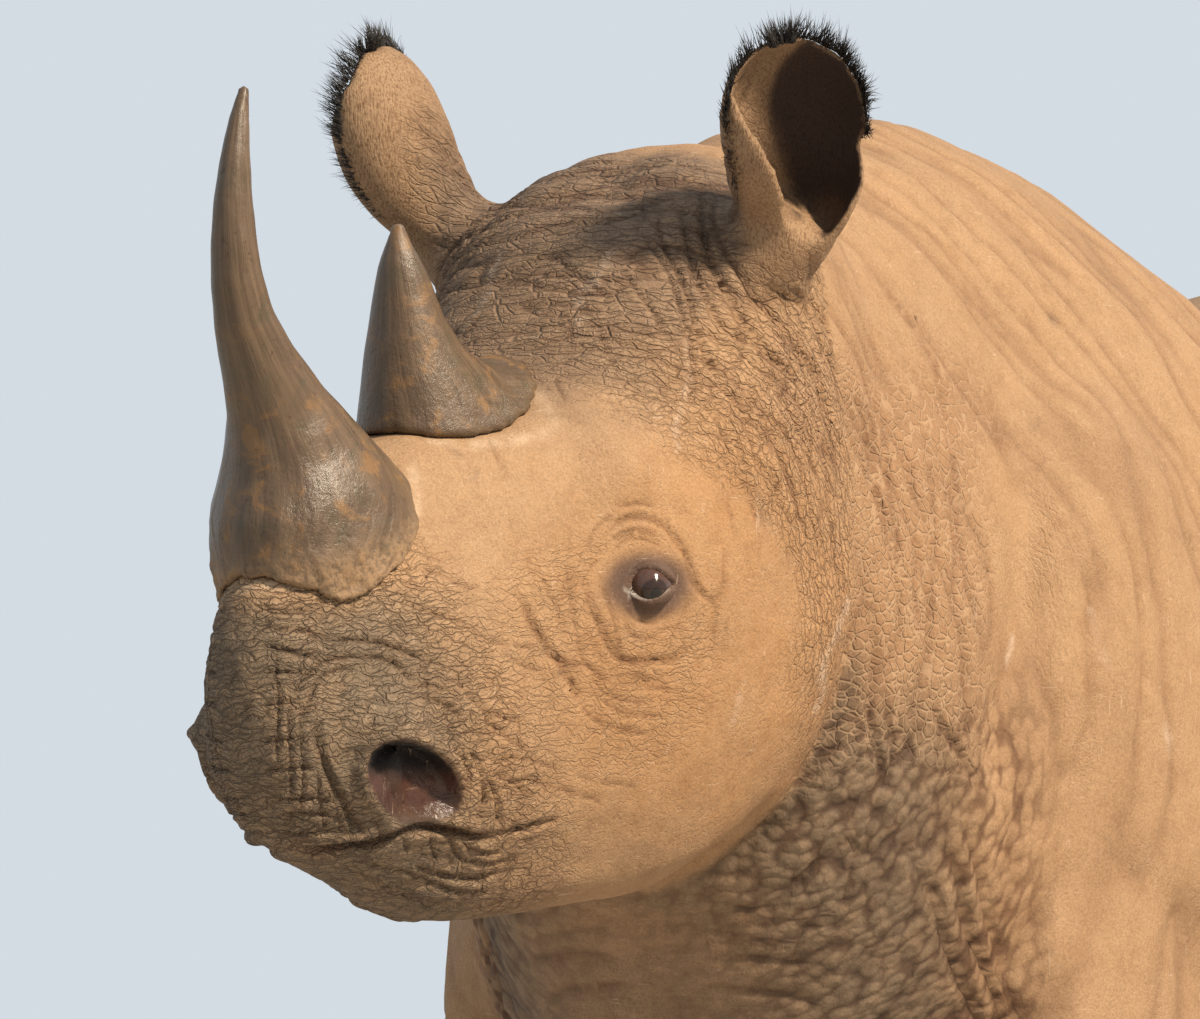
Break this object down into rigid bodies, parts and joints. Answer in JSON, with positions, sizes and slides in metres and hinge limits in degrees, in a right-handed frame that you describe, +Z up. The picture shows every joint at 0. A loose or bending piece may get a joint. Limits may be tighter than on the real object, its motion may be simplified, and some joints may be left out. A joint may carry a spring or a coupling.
{
  "type": "black rhinoceros",
  "caption": "Life-size standing black rhinoceros with raised head, hooked upper lip, curved horns and fringed ears, as a still museum model.",
  "frame": {"origin": "on the floor, under the middle of the animal's bounding box", "axes": "+Z up; the body lies along X with the head towards -X and the tail towards +X; the animal's left side is towards -Y"},
  "size_m": [2.798, 0.9612, 1.6516],
  "materials": {
    "hide": "thick dry wrinkled skin, matt, dusted with red-brown earth",
    "horn": "grey-brown horn, worn smooth at the tip and fibrous at the base",
    "nail": "dark grey-brown horny nail, dusty",
    "eye": "wet dark brown eye"
  },
  "bodies": {
    "root": {"ear_left": "hide", "ear_right": "hide", "eye_left": "eye", "eye_right": "eye", "forefoot_left": "hide", "forefoot_right": "hide", "foreleg_left": "hide", "foreleg_right": "hide", "head": "hide", "hindfoot_left": "hide", "hindfoot_right": "hide", "hindleg_left": "hide", "hindleg_right": "hide", "horn_front": "horn", "horn_rear": "horn", "nail_forefoot_left_inner": "nail", "nail_forefoot_left_middle": "nail", "nail_forefoot_left_outer": "nail", "nail_forefoot_right_inner": "nail", "nail_forefoot_right_middle": "nail", "nail_forefoot_right_outer": "nail", "nail_hindfoot_left_inner": "nail", "nail_hindfoot_left_middle": "nail", "nail_hindfoot_left_outer": "nail", "nail_hindfoot_right_inner": "nail", "nail_hindfoot_right_middle": "nail", "nail_hindfoot_right_outer": "nail", "neck": "hide", "tail": "hide", "trunk": "hide"}
  },
  "joints": []
}
